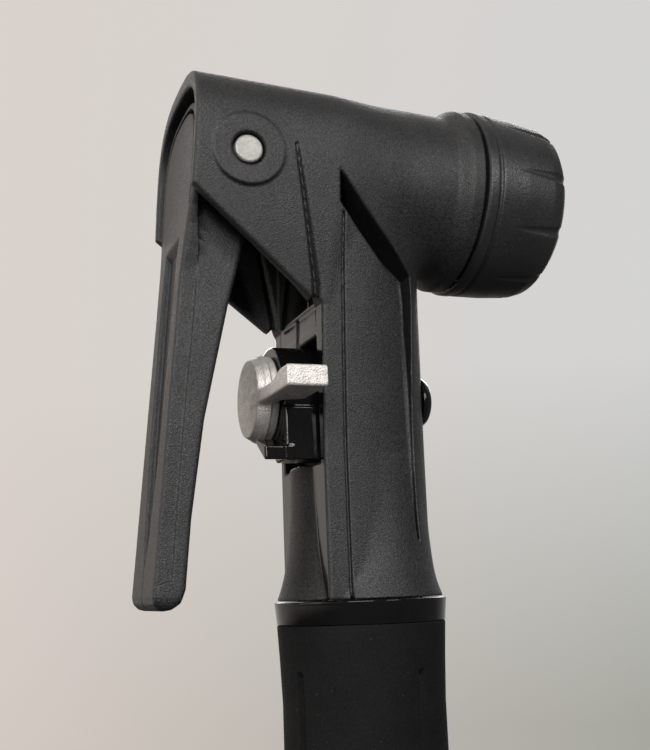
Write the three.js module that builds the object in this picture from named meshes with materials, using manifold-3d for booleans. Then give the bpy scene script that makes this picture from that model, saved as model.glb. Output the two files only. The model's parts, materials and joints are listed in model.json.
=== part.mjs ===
// Portable tire inflator: a hand pump with a lever-lock valve head, a selector valve and a
// telescoping handle. Millimetres, +Z up along the barrel, +X towards the valve nozzle.
// The origin is the centre of the flat end of the handle, on which the closed pump stands.
import * as THREE from 'three';
import { mergeVertices } from 'three/addons/utils/BufferGeometryUtils.js';
import Module from 'manifold-3d';

const wasm = await Module();
wasm.setup();

// ---- driving dimensions ---------------------------------------------------------------
const CLEARANCE = 0.3; // gap between pieces that touch
const HEAD_BASE_Z = 180; // underside of the neck, above the handle's flat end
const RING_HEIGHT = 3;
const RING_RADIUS = 11.5;

// neck, measured from its underside
const NECK_REAR_X = -7.7;
const NECK_SEAM_X = -4.3; // where the flat side panels turn into the rounded nose
const NECK_NOSE_LENGTH = 14.2;
const NECK_HALF_WIDTH = 9.5;
const NECK_TOP_Z = 54;
const FOOT_RADIUS = 11.1;
const SOCKET_RADIUS = 8.85;
const FOOT_TOP_Z = 18.4;

// head: hood and nozzle share one axis that dips towards the nozzle
const HEAD_AXIS_Z = 58;
const HEAD_DIP = THREE.MathUtils.degToRad(3.5);
const HOOD_REAR = -24.5;
const HOOD_HALF_WIDTH = 13.2;
const HOOD_ARCH_MIDDLE = -0.5; // level where the arch springs from the sides
const HOOD_ARCH_HEIGHT = 11.5;
const HOOD_SQUARENESS = 2.8;
const HOOD_WALL = 1.5;
const HOOD_ROOF = 2.3;
const HOOD_SKIRT_W = -7.5; // level where the hood's sides start to taper in
const HOOD_TIP_U = -7.5; // lower front corner of the hood's sides
const HOOD_TIP_W = -20.4;
const HOOD_TIP_HALF_WIDTH = 10.5;
const NOZZLE_RADIUS = 12.1;
const RIDGE_RADIUS = 13.3;
const RIDGE_START = 14;
const RIDGE_END = 16.3;
const THREAD_RADIUS = 11;
const THREAD_END = 26;
const GROMMET_RADIUS = 7.2;
const VALVE_HOLE_RADIUS = 3.9; // takes a 7.7 mm tyre valve stem

// lever, its pin and its cam
const PIN_U = -17.5;
const PIN_W = -2.05;
const PIN_RADIUS = 1.89;
const PIN_HALF_LENGTH = 13.1;
const PIN_BOSS_RADIUS = 4.85;
const PIN_BOSS_FACE = 13.5;
const LEVER_HALF_WIDTH = 7.8;
const CAM_REST_RADIUS = 5;
const CAM_LIFT = 2.5; // plunger travel for a quarter turn of the lever

// plunger, along the head axis
const CHAMBER_RADIUS = 5.5;
const CHAMBER_START = -3;
const SHAFT_RADIUS = 3.1;

// selector valve, along X
const SELECTOR_Z = 26.8;
const SPINDLE_RADIUS = 2.3;
const AIRWAY_RADIUS = 0.75; // narrow enough for 40 degrees of turn to shut it
const KNOB_RADIUS = 6;
const KNOB_FACE_X = -15;
const BOSS_FACE_X = -12;
const BOSS_RADIUS = 7.1;
const RECESS_X = -4.8;
const CAP_BASE_X = 9.3;

// barrel, rod and handle
const BARREL_RADIUS = 8;
const BARREL_BORE = 7;
const BARREL_BOTTOM_Z = -159;
const SOCKET_TOP_Z = 8.9;
const ROD_RADIUS = 2.9;
const SLEEVE_RADIUS = 10.7;
const SLEEVE_BORE = 9;
const SLEEVE_BOTTOM_Z = -168;
const FLUTES = 4;
const FLUTE_PHASE = 22; // degrees from the nozzle's side to the first flute

const ROUND = 32; // sides of a large round piece
const SMALL_ROUND = 16;
const HALF_TURN = Math.PI;
const QUARTER_TURN = Math.PI / 2;

// ---- solids ---------------------------------------------------------------------------
function signedVolume(positions, corners) {
  const [a, b, c] = [new THREE.Vector3(), new THREE.Vector3(), new THREE.Vector3()];
  let volume = 0;
  for (let i = 0; i < corners.length; i += 3) {
    a.fromArray(positions, corners[i] * 3);
    b.fromArray(positions, corners[i + 1] * 3);
    c.fromArray(positions, corners[i + 2] * 3);
    volume += a.dot(b.cross(c)) / 6;
  }
  return volume;
}

// A closed three.js geometry as a manifold solid, with its faces pointing out.
function solid(geometry) {
  const bare = geometry.clone();
  bare.deleteAttribute('normal');
  bare.deleteAttribute('uv');
  const merged = mergeVertices(bare, 1e-4);
  const positions = Float32Array.from(merged.attributes.position.array);
  const corners = [];
  for (let i = 0; i < merged.index.count; i += 3) {
    const [a, b, c] = [0, 1, 2].map((k) => merged.index.getX(i + k));
    if (a !== b && b !== c && c !== a) corners.push(a, b, c);
  }
  if (signedVolume(positions, corners) < 0) corners.reverse();
  return new wasm.Manifold(
    new wasm.Mesh({ numProp: 3, vertProperties: positions, triVerts: Uint32Array.from(corners) }),
  );
}

function joined(...solids) {
  return solids.reduce((whole, next) => whole.add(next));
}

function cut(base, ...tools) {
  return tools.reduce((rest, tool) => rest.subtract(tool), base);
}

function geometryOf(body) {
  const mesh = body.getMesh();
  const geometry = new THREE.BufferGeometry();
  geometry.setAttribute('position', new THREE.BufferAttribute(mesh.vertProperties, 3));
  geometry.setIndex(new THREE.BufferAttribute(mesh.triVerts, 1));
  geometry.computeVertexNormals();
  return geometry;
}

function shapeOf(points) {
  return new THREE.Shape(points.map(([x, y]) => new THREE.Vector2(x, y)));
}

// A solid turned about Z; the profile is a list of [radius, z].
function turned(profile, sides = ROUND) {
  const points = profile.map(([radius, z]) => new THREE.Vector2(radius, z));
  return new THREE.LatheGeometry(points, sides).rotateX(QUARTER_TURN);
}

// A solid turned about X; the profile is a list of [radius, x].
function turnedX(profile, sides = ROUND) {
  return turned(profile, sides).rotateY(QUARTER_TURN);
}

function rod(radius, from, to, sides = SMALL_ROUND) {
  return turned([[0, from], [radius, from], [radius, to], [0, to]], sides);
}

function rodX(radius, from, to, sides = SMALL_ROUND) {
  return rod(radius, from, to, sides).rotateY(QUARTER_TURN);
}

function rodY(radius, halfLength, x, z, sides = SMALL_ROUND) {
  return rod(radius, -halfLength, halfLength, sides).rotateX(QUARTER_TURN).translate(x, 0, z);
}

function tubeProfile(inner, outer, from, to) {
  return [[inner, from], [outer, from], [outer, to], [inner, to], [inner, from]];
}

function ringProfile(radius, thickness, centre, steps = 6) {
  return Array.from({ length: steps + 1 }, (_, i) => {
    const angle = (i % steps) * ((2 * HALF_TURN) / steps);
    return [radius + thickness * Math.cos(angle), centre + thickness * Math.sin(angle)];
  });
}

function box(x0, x1, y0, y1, z0, z1) {
  const block = new THREE.BoxGeometry(x1 - x0, y1 - y0, z1 - z0);
  return block.translate((x0 + x1) / 2, (y0 + y1) / 2, (z0 + z1) / 2);
}

// An outline drawn in X and Z, as thick as 2 * halfWidth along Y.
function slabY(shape, halfWidth, middle = 0) {
  const slab = new THREE.ExtrudeGeometry(shape, {
    depth: 2 * halfWidth,
    bevelEnabled: false,
    curveSegments: 8,
  });
  return slab.rotateX(QUARTER_TURN).translate(0, middle + halfWidth, 0);
}

// An outline drawn in Y and Z, from x0 to x1 along X.
function slabX(shape, x0, x1) {
  const slab = new THREE.ExtrudeGeometry(shape, {
    depth: x1 - x0,
    bevelEnabled: false,
    curveSegments: 8,
  });
  return slab.rotateX(QUARTER_TURN).rotateZ(QUARTER_TURN).translate(x0, 0, 0);
}

// Moves a geometry drawn along the head axis into the neck's axes.
function onHeadAxis(geometry) {
  return geometry.rotateY(HEAD_DIP).translate(0, 0, HEAD_AXIS_Z);
}

// ---- head housing ---------------------------------------------------------------------
function superellipse(halfWidth, height, middle, steps = 20) {
  return Array.from({ length: steps + 1 }, (_, i) => {
    const angle = (HALF_TURN * i) / steps;
    const across = Math.cos(angle);
    const up = Math.max(Math.sin(angle), 0);
    const power = 2 / HOOD_SQUARENESS;
    const y = Math.sign(across) * halfWidth * Math.abs(across) ** power;
    return [y, middle + height * up ** power];
  });
}

// Cross-section of the hood: an arch over straight sides that taper in below the skirt level.
function hoodSection(inset, roofInset) {
  const half = HOOD_HALF_WIDTH - inset;
  const tip = HOOD_TIP_HALF_WIDTH - inset;
  const arch = superellipse(half, HOOD_ARCH_HEIGHT - roofInset, HOOD_ARCH_MIDDLE);
  const skirt = HOOD_SKIRT_W + inset / 3;
  const hem = HOOD_TIP_W - 3;
  return shapeOf([...arch, [-half, skirt], [-tip, hem], [tip, hem], [half, skirt]]);
}

function hoodShell() {
  const side = shapeOf([
    [HOOD_REAR, 13],
    [2, 13],
    [2, HOOD_TIP_W],
    [HOOD_TIP_U, HOOD_TIP_W],
    [HOOD_REAR, HOOD_SKIRT_W],
  ]);
  const section = slabX(hoodSection(0, 0), HOOD_REAR, 2);
  return solid(onHeadAxis(slabY(side, 14))).intersect(solid(onHeadAxis(section)));
}

// The space that the lever turns in, open at the rear and below.
function hoodCavity() {
  const side = shapeOf([
    [HOOD_REAR - 3, 13],
    [-5.5, 13],
    [-5.5, 3.9],
    [NECK_REAR_X, 3.9],
    [NECK_REAR_X, HOOD_TIP_W - 2.5],
    [HOOD_REAR - 3, HOOD_TIP_W - 2.5],
  ]);
  const section = slabX(hoodSection(HOOD_WALL, HOOD_ROOF), HOOD_REAR - 3, 0);
  return solid(onHeadAxis(slabY(side, 14))).intersect(solid(onHeadAxis(section)));
}

function neckColumn() {
  const section = new THREE.Shape();
  section.moveTo(NECK_REAR_X, -NECK_HALF_WIDTH);
  section.lineTo(NECK_SEAM_X, -NECK_HALF_WIDTH);
  section.absellipse(
    NECK_SEAM_X, 0, NECK_NOSE_LENGTH, NECK_HALF_WIDTH, -QUARTER_TURN, QUARTER_TURN, false, 0,
  );
  section.lineTo(NECK_REAR_X, NECK_HALF_WIDTH);
  const column = new THREE.ExtrudeGeometry(section, {
    depth: NECK_TOP_Z - CLEARANCE,
    bevelEnabled: false,
    curveSegments: 14,
  });
  return solid(column.translate(0, 0, CLEARANCE));
}

// Round socket that the barrel screws into, bulging out of the flat back and spreading to the ring.
function neckFoot() {
  return solid(turned([
    [0, CLEARANCE], [FOOT_RADIUS, CLEARANCE], [10.7, 1], [10, 3.5], [9.4, 7], [9, 12],
    [SOCKET_RADIUS, FOOT_TOP_Z], [0, FOOT_TOP_Z],
  ]));
}

function nozzleBody() {
  return solid(onHeadAxis(turnedX([
    [0, -4],
    [NOZZLE_RADIUS, -4],
    [NOZZLE_RADIUS, RIDGE_START - 0.6],
    [RIDGE_RADIUS, RIDGE_START + 0.2],
    [RIDGE_RADIUS, RIDGE_END],
    [THREAD_RADIUS, RIDGE_END],
    [THREAD_RADIUS, THREAD_END],
    [0, THREAD_END],
  ])));
}

// Slots and grooves that the moulding carries on both of its sides.
function sideCuts(side) {
  const diagonal = shapeOf([[-3.9, 55.7], [-3.9, 52.6], [3.2, 42.5], [5.6, 42.5], [5.6, 43.4]]);
  const upright = shapeOf([[3.6, 44.4], [5.6, 44.4], [5.6, 26], [5.9, 9.9], [4.7, 25.9]]);
  const crease = shapeOf([[-10.6, 57.8], [-10.1, 44], [-9.6, 37], [-8, 37], [-8.4, 45], [-9.6, 55]]);
  return joined(
    solid(slabY(diagonal, 1.7, side * 8.2)),
    solid(slabY(upright, 1.6, side * 7.6)),
    solid(slabY(crease, 1.8, side * 13.6)),
  );
}

function boresAndSockets() {
  const nozzleBore = turnedX([
    [0, -9], [SHAFT_RADIUS + CLEARANCE, -9], [SHAFT_RADIUS + CLEARANCE, CHAMBER_START],
    [CHAMBER_RADIUS, CHAMBER_START], [CHAMBER_RADIUS, RIDGE_END + 0.4],
    [GROMMET_RADIUS + CLEARANCE, RIDGE_END + 0.4], [GROMMET_RADIUS + CLEARANCE, THREAD_END + 1],
    [0, THREAD_END + 1],
  ], 28);
  const airway = turned([
    [0, -1], [BARREL_RADIUS + CLEARANCE, -1], [BARREL_RADIUS + CLEARANCE, SOCKET_TOP_Z],
    [4.2, SOCKET_TOP_Z], [4.2, 18.5], [AIRWAY_RADIUS, 18.5], [AIRWAY_RADIUS, 54], [0, 54],
  ], 28);
  const spindleBore = rodX(SPINDLE_RADIUS + CLEARANCE, -9, 12).translate(0, 0, SELECTOR_Z);
  const capSeat = rodX(4, CAP_BASE_X - CLEARANCE, 12).translate(0, 0, SELECTOR_Z);
  const pinHole = onHeadAxis(rodY(PIN_RADIUS + 0.12, 15, PIN_U, PIN_W));
  return [onHeadAxis(nozzleBore), airway, spindleBore, capSeat, pinHole].map(solid);
}

function headHousing() {
  const bossRecess = solid(box(-12, RECESS_X, -7.6, 7.6, 17.6, 34));
  const pinBosses = solid(onHeadAxis(rodY(PIN_BOSS_RADIUS, PIN_BOSS_FACE, PIN_U, PIN_W, 28)));
  const outside = joined(neckColumn(), neckFoot(), hoodShell(), nozzleBody(), pinBosses);
  return cut(outside, hoodCavity(), bossRecess, sideCuts(-1), sideCuts(1), ...boresAndSockets());
}

// ---- lever and plunger ----------------------------------------------------------------
// Side view of the lever, drawn in the neck's axes: a thin back plate over a tapering web.
function leverSide() {
  const side = new THREE.Shape();
  side.moveTo(-23.4, 65.2);
  side.lineTo(-24.4, 52);
  side.lineTo(-25.5, 42);
  side.lineTo(-28.9, 5.5);
  side.lineTo(-29.3, 1.2);
  side.quadraticCurveTo(-29.3, -0.6, -27.8, -0.6);
  side.quadraticCurveTo(-25.6, -0.6, -25.2, 2);
  side.lineTo(-24.4, 10.5);
  side.lineTo(-22.6, 22.8);
  side.lineTo(-19.3, 37.5);
  side.lineTo(-17, 46);
  side.lineTo(-14.5, 53);
  side.lineTo(-21.4, 60.3);
  side.lineTo(-21.4, 65.2);
  return side;
}

// Rear view of the lever: parallel blade, wider head with an arched top.
function leverFront() {
  const front = new THREE.Shape();
  const half = LEVER_HALF_WIDTH;
  front.moveTo(-half, 1.6);
  front.quadraticCurveTo(-half, -0.8, -half + 2.4, -0.8);
  front.lineTo(half - 2.4, -0.8);
  front.quadraticCurveTo(half, -0.8, half, 1.6);
  front.lineTo(half, 45);
  front.lineTo(10.5, 51);
  front.lineTo(10.5, 57);
  front.bezierCurveTo(10.5, 63, 6.5, 65.3, 0, 65.3);
  front.bezierCurveTo(-6.5, 65.3, -10.5, 63, -10.5, 57);
  front.lineTo(-10.5, 51);
  front.lineTo(-half, 45);
  return front;
}

// The cam's radius grows evenly from the side that faces the plunger at rest to its top.
function camOutline() {
  const steps = 32;
  return shapeOf(Array.from({ length: steps }, (_, i) => {
    const turn = i / steps;
    const rise = turn <= 0.25 ? turn / 0.25 : Math.max(0, 1 - (turn - 0.25) / 0.15);
    const radius = CAM_REST_RADIUS + CAM_LIFT * rise;
    const angle = turn * 2 * HALF_TURN;
    return [PIN_U + radius * Math.cos(angle), PIN_W + radius * Math.sin(angle)];
  }));
}

function lockLever() {
  const blade = solid(slabY(leverSide(), 11)).intersect(solid(slabX(leverFront(), -31, -10)));
  const hub = solid(onHeadAxis(rodY(4.4, 11.3, PIN_U, PIN_W, 24)));
  const cam = solid(onHeadAxis(slabY(camOutline(), 6.5)));
  const bore = solid(onHeadAxis(rodY(PIN_RADIUS + 0.1, 12, PIN_U, PIN_W)));
  const groove = shapeOf([
    [-4.1, 47], [-4, 40], [-3.1, 20], [-1.5, 9], [0, 4.5], [1.5, 9], [3.1, 20], [4, 40], [4.1, 47],
  ]);
  const backSlope = Math.atan2(28.9 - 25.5, 42 - 5.5);
  const backGroove = slabX(groove, -2, 0.9).rotateY(backSlope).translate(-29.4, 0, 0);
  return cut(joined(blade, hub, cam), bore, solid(backGroove));
}

function plunger() {
  const body = turnedX([
    [0, -11.9], [SHAFT_RADIUS, -11.9], [SHAFT_RADIUS, -7.3], [2.3, -7.3], [2.3, -5.7],
    [SHAFT_RADIUS, -5.7], [SHAFT_RADIUS, 10], [5.1, 10], [5.1, 14.2], [1.4, 14.2], [1.4, 9], [0, 9],
  ], 20);
  const airHoles = [45, 135, 225, 315].map((degrees) => {
    const angle = THREE.MathUtils.degToRad(degrees);
    return solid(rodX(0.6, 9, 15, 6).translate(0, 4 * Math.cos(angle), 4 * Math.sin(angle)));
  });
  return cut(solid(body), ...airHoles);
}

// ---- nozzle collar --------------------------------------------------------------------
function nozzleCollar() {
  const start = RIDGE_END + 0.6;
  const body = turnedX([
    [THREAD_RADIUS + CLEARANCE, start], [13.3, start], [13.6, start + 0.3], [13.6, 18.3],
    [13.2, 18.5], [13.2, 18.8], [13.5, 19], [13.3, 23], [12.8, 27.6], [12.2, 29], [11.2, 29.8],
    [10.2, 30], [VALVE_HOLE_RADIUS + 0.6, 30], [VALVE_HOLE_RADIUS + 0.6, THREAD_END + CLEARANCE],
    [THREAD_RADIUS + CLEARANCE, THREAD_END + CLEARANCE], [THREAD_RADIUS + CLEARANCE, start],
  ]);
  const count = 10;
  const scallops = Array.from({ length: count }, (_, i) => {
    const groove = new THREE.ConeGeometry(1.5, 9.5, 6).rotateZ(QUARTER_TURN).translate(26.6, 0, 0);
    groove.rotateY(0.06).translate(0, 0, 14.2);
    return solid(groove.rotateX(((i + 0.35) * 2 * HALF_TURN) / count));
  });
  return cut(solid(body), ...scallops);
}

// ---- selector valve -------------------------------------------------------------------
// A barrel with a flat-sided foot on the tab's side; the lug on the foot stops the tab.
function selectorBody() {
  const back = RECESS_X - CLEARANCE;
  const barrel = solid(rodX(BOSS_RADIUS, back, BOSS_FACE_X, 28).translate(0, 0, SELECTOR_Z));
  const level = SELECTOR_Z - 2;
  const block = shapeOf([[-7.2, 17.9], [-2.5, 17.9], [0.5, 20.5], [0.5, level], [-7.2, level]]);
  const foot = solid(slabX(block, BOSS_FACE_X, back));
  const lugOutline = shapeOf([[-7.2, 17.9], [-6.6, 17.9], [-3.1, 20.2], [-3.1, 21], [-7.2, 19.6]]);
  const lug = solid(slabX(lugOutline, -14.8, -11.5));
  const bore = solid(rodX(SPINDLE_RADIUS + CLEARANCE, -16, 0).translate(0, 0, SELECTOR_Z));
  return cut(joined(barrel, foot, lug), bore);
}

function selectorKnob() {
  const tier = BOSS_FACE_X - CLEARANCE;
  const disc = turnedX([
    [0, KNOB_FACE_X], [KNOB_RADIUS - 0.8, KNOB_FACE_X], [KNOB_RADIUS, -13.4], [KNOB_RADIUS, tier],
    [SPINDLE_RADIUS + CLEARANCE, tier], [SPINDLE_RADIUS + CLEARANCE, -13.9], [0, -13.9],
  ], 32).translate(0, 0, SELECTOR_Z);
  const tab = new THREE.ExtrudeGeometry(shapeOf([
    [KNOB_FACE_X, -3], [KNOB_FACE_X, -18], [-9.8, -18], [-9.8, -8.9], [-12.4, -7.7], [-12.8, -3],
  ]), { depth: 2.7, bevelEnabled: false }).translate(0, 0, SELECTOR_Z - 1.4);
  return joined(solid(disc), solid(tab));
}

function selectorSpindle() {
  const shaft = turnedX([
    [0, -13.6], [SPINDLE_RADIUS, -13.6], [SPINDLE_RADIUS, -4.2], [1.7, -4.2], [1.7, -2.8],
    [SPINDLE_RADIUS, -2.8], [SPINDLE_RADIUS, 2.8], [1.7, 2.8], [1.7, 4.2], [SPINDLE_RADIUS, 4.2],
    [SPINDLE_RADIUS, 8.8], [1.3, 8.8], [1.3, 5], [0, 5],
  ], 16).translate(0, 0, SELECTOR_Z);
  const airHole = rod(AIRWAY_RADIUS, SELECTOR_Z - 4, SELECTOR_Z + 4, 12);
  return cut(solid(shaft), solid(airHole));
}

function spindleCap() {
  return solid(turnedX([
    [0, 5.4], [1, 5.4], [1, CAP_BASE_X], [3.7, CAP_BASE_X], [3.7, 9.8], [3.1, 10.7],
    [1.9, 11.3], [0, 11.5],
  ], 20).translate(0, 0, SELECTOR_Z));
}

// ---- check valve ----------------------------------------------------------------------
function springCoil() {
  class Helix extends THREE.Curve {
    getPoint(t) {
      const angle = t * 4 * 2 * HALF_TURN;
      return new THREE.Vector3(2.2 * Math.cos(angle), 2.2 * Math.sin(angle), 13.6 + 4.3 * t);
    }
  }
  const wire = new THREE.Shape().absarc(0, 0, 0.3, 0, 2 * HALF_TURN);
  return solid(new THREE.ExtrudeGeometry(wire, {
    steps: 40,
    curveSegments: 2,
    extrudePath: new Helix(),
  }));
}

// ---- barrel and handle ----------------------------------------------------------------
function barrelGland() {
  const top = BARREL_BOTTOM_Z + 6;
  return solid(turned([
    [ROD_RADIUS + CLEARANCE, BARREL_BOTTOM_Z - 3], [8.3, BARREL_BOTTOM_Z - 3],
    [8.3, BARREL_BOTTOM_Z - CLEARANCE], [BARREL_BORE - CLEARANCE, BARREL_BOTTOM_Z - CLEARANCE],
    [BARREL_BORE - CLEARANCE, top], [ROD_RADIUS + CLEARANCE, top],
    [ROD_RADIUS + CLEARANCE, BARREL_BOTTOM_Z - 3],
  ], 28));
}

function handleSleeve() {
  const top = -RING_HEIGHT - 0.2;
  const tube = turned([
    [SLEEVE_BORE, SLEEVE_BOTTOM_Z], [SLEEVE_RADIUS, SLEEVE_BOTTOM_Z], [SLEEVE_RADIUS, top - 10],
    [11.2, top], [SLEEVE_BORE, top], [SLEEVE_BORE, SLEEVE_BOTTOM_Z],
  ], 48);
  const flutes = Array.from({ length: FLUTES }, (_, i) => {
    const groove = rod(0.9, SLEEVE_BOTTOM_Z + 8, top - 6.5, 6).translate(SLEEVE_RADIUS + 0.35, 0, 0);
    const angle = FLUTE_PHASE + (i * 360) / FLUTES;
    return solid(groove.rotateZ(THREE.MathUtils.degToRad(angle)));
  });
  return cut(solid(tube), ...flutes);
}

function handleEndCap() {
  const bottom = -HEAD_BASE_Z;
  const top = SLEEVE_BOTTOM_Z - 0.2;
  const plug = SLEEVE_BORE - CLEARANCE;
  return solid(turned([
    [0, bottom], [11.1, bottom], [11.8, bottom + 0.8], [11.8, top - 1], [11.2, top],
    [plug, top], [plug, top + 5], [ROD_RADIUS + 0.2, top + 5],
    [ROD_RADIUS + 0.2, bottom + 4], [0, bottom + 4],
  ]));
}

function piston() {
  return solid(turned([
    [1.6, -5], [6.7, -5], [6.7, -2.6], [5.6, -2.6], [5.6, -0.6], [6.7, -0.6], [6.7, 2.4],
    [1.6, 2.4], [1.6, -5],
  ], 28));
}

function pistonScrew() {
  return solid(turned([[0, -14], [1.2, -14], [1.2, 2.7], [3.2, 2.7], [3.2, 4.4], [0, 4.4]], 16));
}

function pistonRod() {
  const bottom = 4.3 - HEAD_BASE_Z;
  return solid(turned([
    [0, bottom], [ROD_RADIUS, bottom], [ROD_RADIUS, -5.3], [1.5, -5.3], [1.5, -15], [0, -15],
  ]));
}

// ---- materials and assembly -----------------------------------------------------------
function finish(color, roughness, metalness = 0) {
  return () => new THREE.MeshStandardMaterial({ color, roughness, metalness });
}

const matteBlack = finish(0x1d1d1e, 0.72);
const satinBlack = finish(0x202021, 0.5);
const glossBlack = finish(0x0c0c0d, 0.18);
const rubberBlack = finish(0x161616, 0.85);
const castSilver = finish(0xb3aca3, 0.42, 0.85);
const steel = finish(0xc8c8c6, 0.25, 1);
const anodised = finish(0xb9bcc0, 0.35, 1);
const brass = finish(0xb08d4c, 0.35, 1);
const whitePlastic = finish(0xd9d7cf, 0.5);

function piece(name, body, material) {
  const mesh = new THREE.Mesh(geometryOf(body), material());
  mesh.name = name;
  return mesh;
}

// Pieces drawn along the head axis, placed by a group that carries that axis.
function nozzleGroup() {
  const group = new THREE.Group();
  group.position.z = HEAD_AXIS_Z;
  group.rotation.y = HEAD_DIP;
  const grommet = tubeProfile(VALVE_HOLE_RADIUS, GROMMET_RADIUS, 18.6, THREAD_END);
  const washer = tubeProfile(2.6, GROMMET_RADIUS, 17, 18.3);
  group.add(
    piece('lever_pin', solid(rodY(PIN_RADIUS, PIN_HALF_LENGTH, PIN_U, PIN_W)), steel),
    piece('plunger', plunger(), whitePlastic),
    piece('plunger_seal', solid(turnedX(ringProfile(2.8, 0.45, -6.5), SMALL_ROUND)), rubberBlack),
    piece('valve_depressor', solid(rodX(1.1, 9.3, 18, 14)), brass),
    piece('grommet_washer', solid(turnedX(washer, 28)), whitePlastic),
    piece('valve_grommet', solid(turnedX(grommet, 28)), rubberBlack),
    piece('nozzle_collar', nozzleCollar(), satinBlack),
  );
  return group;
}

function selectorPieces() {
  const ring = (x) => turnedX(ringProfile(2.1, 0.36, x), SMALL_ROUND).translate(0, 0, SELECTOR_Z);
  return [
    piece('selector_body', selectorBody(), glossBlack),
    piece('selector_knob', selectorKnob(), castSilver),
    piece('selector_spindle', selectorSpindle(), brass),
    piece('spindle_seal_rear', solid(ring(-3.5)), rubberBlack),
    piece('spindle_seal_front', solid(ring(3.5)), rubberBlack),
    piece('spindle_cap', spindleCap(), glossBlack),
  ];
}

function checkValvePieces() {
  const seat = turned(tubeProfile(1.4, 3.9, SOCKET_TOP_Z + 0.7, 11.2), SMALL_ROUND);
  const poppet = turned([
    [0, 11.5], [2.9, 11.5], [2.9, 13], [1.2, 13], [1.2, 15.2], [0, 15.2],
  ], SMALL_ROUND);
  return [
    piece('check_valve_seat', solid(seat), brass),
    piece('check_valve_poppet', solid(poppet), whitePlastic),
    piece('check_valve_spring', springCoil(), steel),
  ];
}

function barrelPieces() {
  const wall = tubeProfile(BARREL_BORE, BARREL_RADIUS, BARREL_BOTTOM_Z, SOCKET_TOP_Z - 1);
  const gasket = tubeProfile(6.6, BARREL_RADIUS, SOCKET_TOP_Z - 0.7, SOCKET_TOP_Z - 0.2);
  return [
    piece('barrel_tube', solid(turned(wall)), anodised),
    piece('barrel_gasket', solid(turned(gasket)), rubberBlack),
    piece('barrel_gland', barrelGland(), whitePlastic),
  ];
}

function handlePieces() {
  const ring = turned([
    [BARREL_RADIUS + CLEARANCE, -RING_HEIGHT], [11.25, -RING_HEIGHT], [RING_RADIUS, -0.25],
    [11.35, 0], [BARREL_RADIUS + CLEARANCE, 0], [BARREL_RADIUS + CLEARANCE, -RING_HEIGHT],
  ], 48);
  const bumper = tubeProfile(ROD_RADIUS + 0.15, 5.4, -8.6, -5.3);
  return [
    piece('sleeve_guide_ring', solid(ring), glossBlack),
    piece('handle_sleeve', handleSleeve(), rubberBlack),
    piece('handle_end_cap', handleEndCap(), satinBlack),
    piece('piston_rod', pistonRod(), steel),
    piece('piston', piston(), whitePlastic),
    piece('piston_seal', solid(turned(ringProfile(6.2, 0.5, -1.6), 24)), rubberBlack),
    piece('piston_screw', pistonScrew(), steel),
    piece('rod_bumper', solid(turned(bumper, 24)), rubberBlack),
  ];
}

const pump = new THREE.Group();
pump.position.z = HEAD_BASE_Z;
pump.add(
  piece('head_housing', headHousing(), matteBlack),
  piece('lock_lever', lockLever(), matteBlack),
  nozzleGroup(),
  ...selectorPieces(),
  ...checkValvePieces(),
  ...barrelPieces(),
  ...handlePieces(),
);

export default pump;
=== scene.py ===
"""Looks of a portable tire inflator: a hand pump with a lever-lock valve head.

Shapes are worked out in millimetres in the neck's axes: z = 0 is the underside of the neck, x points
to the nozzle. The head axis (u along the nozzle, w up, same y) dips towards the nozzle.
"""

import json
import math

import bmesh
import bpy
import numpy as np
from mathutils import Matrix, Vector

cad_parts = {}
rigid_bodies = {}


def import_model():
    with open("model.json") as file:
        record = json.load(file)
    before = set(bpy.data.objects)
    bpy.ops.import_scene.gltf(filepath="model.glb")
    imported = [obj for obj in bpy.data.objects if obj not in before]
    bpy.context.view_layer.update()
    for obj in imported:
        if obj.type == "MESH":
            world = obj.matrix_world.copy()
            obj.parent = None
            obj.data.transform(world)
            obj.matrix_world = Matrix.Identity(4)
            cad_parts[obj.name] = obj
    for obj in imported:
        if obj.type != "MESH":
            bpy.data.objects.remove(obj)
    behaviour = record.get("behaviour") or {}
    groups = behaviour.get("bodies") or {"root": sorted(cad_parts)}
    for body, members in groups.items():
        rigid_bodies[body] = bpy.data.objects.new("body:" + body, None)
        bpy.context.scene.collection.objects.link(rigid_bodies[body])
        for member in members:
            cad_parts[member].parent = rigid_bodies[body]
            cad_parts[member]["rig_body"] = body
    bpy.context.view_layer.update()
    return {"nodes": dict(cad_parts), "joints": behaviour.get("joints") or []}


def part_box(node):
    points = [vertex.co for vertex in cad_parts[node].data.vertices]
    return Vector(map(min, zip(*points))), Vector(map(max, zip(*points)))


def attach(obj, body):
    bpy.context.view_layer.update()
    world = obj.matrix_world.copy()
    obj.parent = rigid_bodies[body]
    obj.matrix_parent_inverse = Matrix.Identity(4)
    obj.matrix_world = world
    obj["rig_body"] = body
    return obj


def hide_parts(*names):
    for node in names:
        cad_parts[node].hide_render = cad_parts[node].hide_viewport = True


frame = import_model()
JOINTS = {joint["name"]: joint for joint in frame["joints"]}

# ---- places taken from the frame ---------------------------------------------------------
MM = 0.001
BASE_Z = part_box("sleeve_guide_ring")[1].z / MM  # underside of the neck
HEAD_AXIS_Z = JOINTS["collar_turn"]["pos_m"][2] / MM - BASE_Z
HEAD_DIP = math.asin(-JOINTS["collar_turn"]["axis"][2])
PIN_X = JOINTS["lever_hinge"]["pos_m"][0] / MM
PIN_Z = JOINTS["lever_hinge"]["pos_m"][2] / MM - BASE_Z
SELECTOR_Z = JOINTS["selector_turn"]["pos_m"][2] / MM - BASE_Z

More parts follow.
